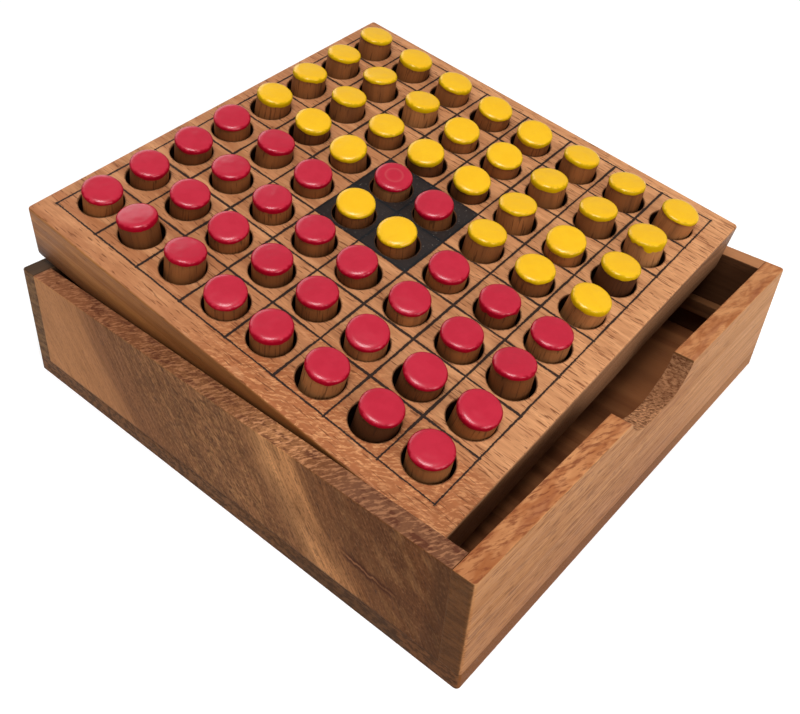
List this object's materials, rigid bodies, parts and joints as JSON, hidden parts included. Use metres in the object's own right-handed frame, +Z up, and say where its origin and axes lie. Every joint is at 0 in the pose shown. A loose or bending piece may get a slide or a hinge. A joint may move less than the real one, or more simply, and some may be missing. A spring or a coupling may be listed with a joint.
{
  "type": "travel reversi set",
  "caption": "Square wooden box with a finger notch and a thick peg board wedged in it at a slant, its blind holes filled with loose red and yellow dipped dowel pegs.",
  "frame": {"origin": "centre of the underside of the box's base panel", "axes": "+Z up, +X towards the side wall with the finger notch, +Y away from the front wall"},
  "size_m": [0.1726, 0.172, 0.0836],
  "materials": {
    "base_wood": "satin",
    "side_wall_wood": "satin",
    "end_wall_wood": "satin",
    "rail_wood": "satin",
    "board_wood": "satin",
    "red_peg": "gloss enamel",
    "yellow_peg": "gloss enamel"
  },
  "bodies": {
    "box": {"base_panel": "base_wood", "left_wall": "side_wall_wood", "right_wall": "side_wall_wood", "front_wall": "end_wall_wood", "back_wall": "end_wall_wood", "front_rail": "rail_wood", "back_rail": "rail_wood"},
    "board": {"playing_board": "board_wood"},
    "pegs_row_1_left_body": {"pegs_row_1_left": "red_peg"},
    "pegs_row_1_right_body": {"pegs_row_1_right": "red_peg"},
    "peg_row_2_column_1_body": {"peg_row_2_column_1": "red_peg"},
    "peg_row_2_column_2_body": {"peg_row_2_column_2": "red_peg"},
    "peg_row_2_column_3_body": {"peg_row_2_column_3": "red_peg"},
    "peg_row_2_column_4_body": {"peg_row_2_column_4": "red_peg"},
    "peg_row_2_column_5_body": {"peg_row_2_column_5": "red_peg"},
    "peg_row_2_column_6_body": {"peg_row_2_column_6": "red_peg"},
    "peg_row_2_column_7_body": {"peg_row_2_column_7": "red_peg"},
    "peg_row_2_column_8_body": {"peg_row_2_column_8": "red_peg"},
    "peg_row_3_column_1_body": {"peg_row_3_column_1": "red_peg"},
    "peg_row_3_column_2_body": {"peg_row_3_column_2": "red_peg"},
    "peg_row_3_column_3_body": {"peg_row_3_column_3": "red_peg"},
    "peg_row_3_column_4_body": {"peg_row_3_column_4": "red_peg"},
    "peg_row_3_column_5_body": {"peg_row_3_column_5": "red_peg"},
    "peg_row_3_column_6_body": {"peg_row_3_column_6": "red_peg"},
    "peg_row_3_column_7_body": {"peg_row_3_column_7": "red_peg"},
    "peg_row_3_column_8_body": {"peg_row_3_column_8": "red_peg"},
    "peg_row_4_column_1_body": {"peg_row_4_column_1": "red_peg"},
    "peg_row_4_column_2_body": {"peg_row_4_column_2": "red_peg"},
    "peg_row_4_column_3_body": {"peg_row_4_column_3": "red_peg"},
    "peg_row_4_column_4_body": {"peg_row_4_column_4": "yellow_peg"},
    "peg_row_4_column_5_body": {"peg_row_4_column_5": "yellow_peg"},
    "peg_row_4_column_6_body": {"peg_row_4_column_6": "red_peg"},
    "peg_row_4_column_7_body": {"peg_row_4_column_7": "red_peg"},
    "peg_row_4_column_8_body": {"peg_row_4_column_8": "red_peg"},
    "peg_row_5_column_1_body": {"peg_row_5_column_1": "yellow_peg"},
    "peg_row_5_column_2_body": {"peg_row_5_column_2": "yellow_peg"},
    "peg_row_5_column_3_body": {"peg_row_5_column_3": "yellow_peg"},
    "peg_row_5_column_4_body": {"peg_row_5_column_4": "red_peg"},
    "peg_row_5_column_5_body": {"peg_row_5_column_5": "red_peg"},
    "peg_row_5_column_6_body": {"peg_row_5_column_6": "yellow_peg"},
    "peg_row_5_column_7_body": {"peg_row_5_column_7": "yellow_peg"},
    "peg_row_5_column_8_body": {"peg_row_5_column_8": "yellow_peg"},
    "peg_row_6_column_1_body": {"peg_row_6_column_1": "yellow_peg"},
    "peg_row_6_column_2_body": {"peg_row_6_column_2": "yellow_peg"},
    "peg_row_6_column_3_body": {"peg_row_6_column_3": "yellow_peg"},
    "peg_row_6_column_4_body": {"peg_row_6_column_4": "yellow_peg"},
    "peg_row_6_column_5_body": {"peg_row_6_column_5": "yellow_peg"},
    "peg_row_6_column_6_body": {"peg_row_6_column_6": "yellow_peg"},
    "peg_row_6_column_7_body": {"peg_row_6_column_7": "yellow_peg"},
    "peg_row_6_column_8_body": {"peg_row_6_column_8": "yellow_peg"},
    "peg_row_7_column_1_body": {"peg_row_7_column_1": "yellow_peg"},
    "peg_row_7_column_2_body": {"peg_row_7_column_2": "yellow_peg"},
    "peg_row_7_column_3_body": {"peg_row_7_column_3": "yellow_peg"},
    "peg_row_7_column_4_body": {"peg_row_7_column_4": "yellow_peg"},
    "peg_row_7_column_5_body": {"peg_row_7_column_5": "yellow_peg"},
    "peg_row_7_column_6_body": {"peg_row_7_column_6": "yellow_peg"},
    "peg_row_7_column_7_body": {"peg_row_7_column_7": "yellow_peg"},
    "peg_row_7_column_8_body": {"peg_row_7_column_8": "yellow_peg"},
    "pegs_row_8_left_body": {"pegs_row_8_left": "yellow_peg"},
    "pegs_row_8_right_body": {"pegs_row_8_right": "yellow_peg"}
  },
  "joints": [
    {"name": "board_lift", "type": "slide", "parent": "box", "child": "board", "axis": [0, 0, 1], "range_m": [0, 0.08]},
    {"name": "pegs_row_1_left_pull", "type": "slide", "parent": "board", "child": "pegs_row_1_left_body", "axis": [0.1786, -0.1216, 0.9764], "range_m": [0, 0.025]},
    {"name": "pegs_row_1_right_pull", "type": "slide", "parent": "board", "child": "pegs_row_1_right_body", "axis": [0.1786, -0.1216, 0.9764], "range_m": [0, 0.025]},
    {"name": "peg_row_2_column_1_pull", "type": "slide", "parent": "board", "child": "peg_row_2_column_1_body", "axis": [0.1786, -0.1216, 0.9764], "range_m": [0, 0.025]},
    {"name": "peg_row_2_column_2_pull", "type": "slide", "parent": "board", "child": "peg_row_2_column_2_body", "axis": [0.1786, -0.1216, 0.9764], "range_m": [0, 0.025]},
    {"name": "peg_row_2_column_3_pull", "type": "slide", "parent": "board", "child": "peg_row_2_column_3_body", "axis": [0.1786, -0.1216, 0.9764], "range_m": [0, 0.025]},
    {"name": "peg_row_2_column_4_pull", "type": "slide", "parent": "board", "child": "peg_row_2_column_4_body", "axis": [0.1786, -0.1216, 0.9764], "range_m": [0, 0.025]},
    {"name": "peg_row_2_column_5_pull", "type": "slide", "parent": "board", "child": "peg_row_2_column_5_body", "axis": [0.1786, -0.1216, 0.9764], "range_m": [0, 0.025]},
    {"name": "peg_row_2_column_6_pull", "type": "slide", "parent": "board", "child": "peg_row_2_column_6_body", "axis": [0.1786, -0.1216, 0.9764], "range_m": [0, 0.025]},
    {"name": "peg_row_2_column_7_pull", "type": "slide", "parent": "board", "child": "peg_row_2_column_7_body", "axis": [0.1786, -0.1216, 0.9764], "range_m": [0, 0.025]},
    {"name": "peg_row_2_column_8_pull", "type": "slide", "parent": "board", "child": "peg_row_2_column_8_body", "axis": [0.1786, -0.1216, 0.9764], "range_m": [0, 0.025]},
    {"name": "peg_row_3_column_1_pull", "type": "slide", "parent": "board", "child": "peg_row_3_column_1_body", "axis": [0.1786, -0.1216, 0.9764], "range_m": [0, 0.025]},
    {"name": "peg_row_3_column_2_pull", "type": "slide", "parent": "board", "child": "peg_row_3_column_2_body", "axis": [0.1786, -0.1216, 0.9764], "range_m": [0, 0.025]},
    {"name": "peg_row_3_column_3_pull", "type": "slide", "parent": "board", "child": "peg_row_3_column_3_body", "axis": [0.1786, -0.1216, 0.9764], "range_m": [0, 0.025]},
    {"name": "peg_row_3_column_4_pull", "type": "slide", "parent": "board", "child": "peg_row_3_column_4_body", "axis": [0.1786, -0.1216, 0.9764], "range_m": [0, 0.025]},
    {"name": "peg_row_3_column_5_pull", "type": "slide", "parent": "board", "child": "peg_row_3_column_5_body", "axis": [0.1786, -0.1216, 0.9764], "range_m": [0, 0.025]},
    {"name": "peg_row_3_column_6_pull", "type": "slide", "parent": "board", "child": "peg_row_3_column_6_body", "axis": [0.1786, -0.1216, 0.9764], "range_m": [0, 0.025]},
    {"name": "peg_row_3_column_7_pull", "type": "slide", "parent": "board", "child": "peg_row_3_column_7_body", "axis": [0.1786, -0.1216, 0.9764], "range_m": [0, 0.025]},
    {"name": "peg_row_3_column_8_pull", "type": "slide", "parent": "board", "child": "peg_row_3_column_8_body", "axis": [0.1786, -0.1216, 0.9764], "range_m": [0, 0.025]},
    {"name": "peg_row_4_column_1_pull", "type": "slide", "parent": "board", "child": "peg_row_4_column_1_body", "axis": [0.1786, -0.1216, 0.9764], "range_m": [0, 0.025]},
    {"name": "peg_row_4_column_2_pull", "type": "slide", "parent": "board", "child": "peg_row_4_column_2_body", "axis": [0.1786, -0.1216, 0.9764], "range_m": [0, 0.025]},
    {"name": "peg_row_4_column_3_pull", "type": "slide", "parent": "board", "child": "peg_row_4_column_3_body", "axis": [0.1786, -0.1216, 0.9764], "range_m": [0, 0.025]},
    {"name": "peg_row_4_column_4_pull", "type": "slide", "parent": "board", "child": "peg_row_4_column_4_body", "axis": [0.1786, -0.1216, 0.9764], "range_m": [0, 0.025]},
    {"name": "peg_row_4_column_5_pull", "type": "slide", "parent": "board", "child": "peg_row_4_column_5_body", "axis": [0.1786, -0.1216, 0.9764], "range_m": [0, 0.025]},
    {"name": "peg_row_4_column_6_pull", "type": "slide", "parent": "board", "child": "peg_row_4_column_6_body", "axis": [0.1786, -0.1216, 0.9764], "range_m": [0, 0.025]},
    {"name": "peg_row_4_column_7_pull", "type": "slide", "parent": "board", "child": "peg_row_4_column_7_body", "axis": [0.1786, -0.1216, 0.9764], "range_m": [0, 0.025]},
    {"name": "peg_row_4_column_8_pull", "type": "slide", "parent": "board", "child": "peg_row_4_column_8_body", "axis": [0.1786, -0.1216, 0.9764], "range_m": [0, 0.025]},
    {"name": "peg_row_5_column_1_pull", "type": "slide", "parent": "board", "child": "peg_row_5_column_1_body", "axis": [0.1786, -0.1216, 0.9764], "range_m": [0, 0.025]},
    {"name": "peg_row_5_column_2_pull", "type": "slide", "parent": "board", "child": "peg_row_5_column_2_body", "axis": [0.1786, -0.1216, 0.9764], "range_m": [0, 0.025]},
    {"name": "peg_row_5_column_3_pull", "type": "slide", "parent": "board", "child": "peg_row_5_column_3_body", "axis": [0.1786, -0.1216, 0.9764], "range_m": [0, 0.025]},
    {"name": "peg_row_5_column_4_pull", "type": "slide", "parent": "board", "child": "peg_row_5_column_4_body", "axis": [0.1786, -0.1216, 0.9764], "range_m": [0, 0.025]},
    {"name": "peg_row_5_column_5_pull", "type": "slide", "parent": "board", "child": "peg_row_5_column_5_body", "axis": [0.1786, -0.1216, 0.9764], "range_m": [0, 0.025]},
    {"name": "peg_row_5_column_6_pull", "type": "slide", "parent": "board", "child": "peg_row_5_column_6_body", "axis": [0.1786, -0.1216, 0.9764], "range_m": [0, 0.025]},
    {"name": "peg_row_5_column_7_pull", "type": "slide", "parent": "board", "child": "peg_row_5_column_7_body", "axis": [0.1786, -0.1216, 0.9764], "range_m": [0, 0.025]},
    {"name": "peg_row_5_column_8_pull", "type": "slide", "parent": "board", "child": "peg_row_5_column_8_body", "axis": [0.1786, -0.1216, 0.9764], "range_m": [0, 0.025]},
    {"name": "peg_row_6_column_1_pull", "type": "slide", "parent": "board", "child": "peg_row_6_column_1_body", "axis": [0.1786, -0.1216, 0.9764], "range_m": [0, 0.025]},
    {"name": "peg_row_6_column_2_pull", "type": "slide", "parent": "board", "child": "peg_row_6_column_2_body", "axis": [0.1786, -0.1216, 0.9764], "range_m": [0, 0.025]},
    {"name": "peg_row_6_column_3_pull", "type": "slide", "parent": "board", "child": "peg_row_6_column_3_body", "axis": [0.1786, -0.1216, 0.9764], "range_m": [0, 0.025]},
    {"name": "peg_row_6_column_4_pull", "type": "slide", "parent": "board", "child": "peg_row_6_column_4_body", "axis": [0.1786, -0.1216, 0.9764], "range_m": [0, 0.025]},
    {"name": "peg_row_6_column_5_pull", "type": "slide", "parent": "board", "child": "peg_row_6_column_5_body", "axis": [0.1786, -0.1216, 0.9764], "range_m": [0, 0.025]},
    {"name": "peg_row_6_column_6_pull", "type": "slide", "parent": "board", "child": "peg_row_6_column_6_body", "axis": [0.1786, -0.1216, 0.9764], "range_m": [0, 0.025]},
    {"name": "peg_row_6_column_7_pull", "type": "slide", "parent": "board", "child": "peg_row_6_column_7_body", "axis": [0.1786, -0.1216, 0.9764], "range_m": [0, 0.025]},
    {"name": "peg_row_6_column_8_pull", "type": "slide", "parent": "board", "child": "peg_row_6_column_8_body", "axis": [0.1786, -0.1216, 0.9764], "range_m": [0, 0.025]},
    {"name": "peg_row_7_column_1_pull", "type": "slide", "parent": "board", "child": "peg_row_7_column_1_body", "axis": [0.1786, -0.1216, 0.9764], "range_m": [0, 0.025]},
    {"name": "peg_row_7_column_2_pull", "type": "slide", "parent": "board", "child": "peg_row_7_column_2_body", "axis": [0.1786, -0.1216, 0.9764], "range_m": [0, 0.025]},
    {"name": "peg_row_7_column_3_pull", "type": "slide", "parent": "board", "child": "peg_row_7_column_3_body", "axis": [0.1786, -0.1216, 0.9764], "range_m": [0, 0.025]},
    {"name": "peg_row_7_column_4_pull", "type": "slide", "parent": "board", "child": "peg_row_7_column_4_body", "axis": [0.1786, -0.1216, 0.9764], "range_m": [0, 0.025]},
    {"name": "peg_row_7_column_5_pull", "type": "slide", "parent": "board", "child": "peg_row_7_column_5_body", "axis": [0.1786, -0.1216, 0.9764], "range_m": [0, 0.025]},
    {"name": "peg_row_7_column_6_pull", "type": "slide", "parent": "board", "child": "peg_row_7_column_6_body", "axis": [0.1786, -0.1216, 0.9764], "range_m": [0, 0.025]},
    {"name": "peg_row_7_column_7_pull", "type": "slide", "parent": "board", "child": "peg_row_7_column_7_body", "axis": [0.1786, -0.1216, 0.9764], "range_m": [0, 0.025]},
    {"name": "peg_row_7_column_8_pull", "type": "slide", "parent": "board", "child": "peg_row_7_column_8_body", "axis": [0.1786, -0.1216, 0.9764], "range_m": [0, 0.025]},
    {"name": "pegs_row_8_left_pull", "type": "slide", "parent": "board", "child": "pegs_row_8_left_body", "axis": [0.1786, -0.1216, 0.9764], "range_m": [0, 0.025]},
    {"name": "pegs_row_8_right_pull", "type": "slide", "parent": "board", "child": "pegs_row_8_right_body", "axis": [0.1786, -0.1216, 0.9764], "range_m": [0, 0.025]}
  ]
}
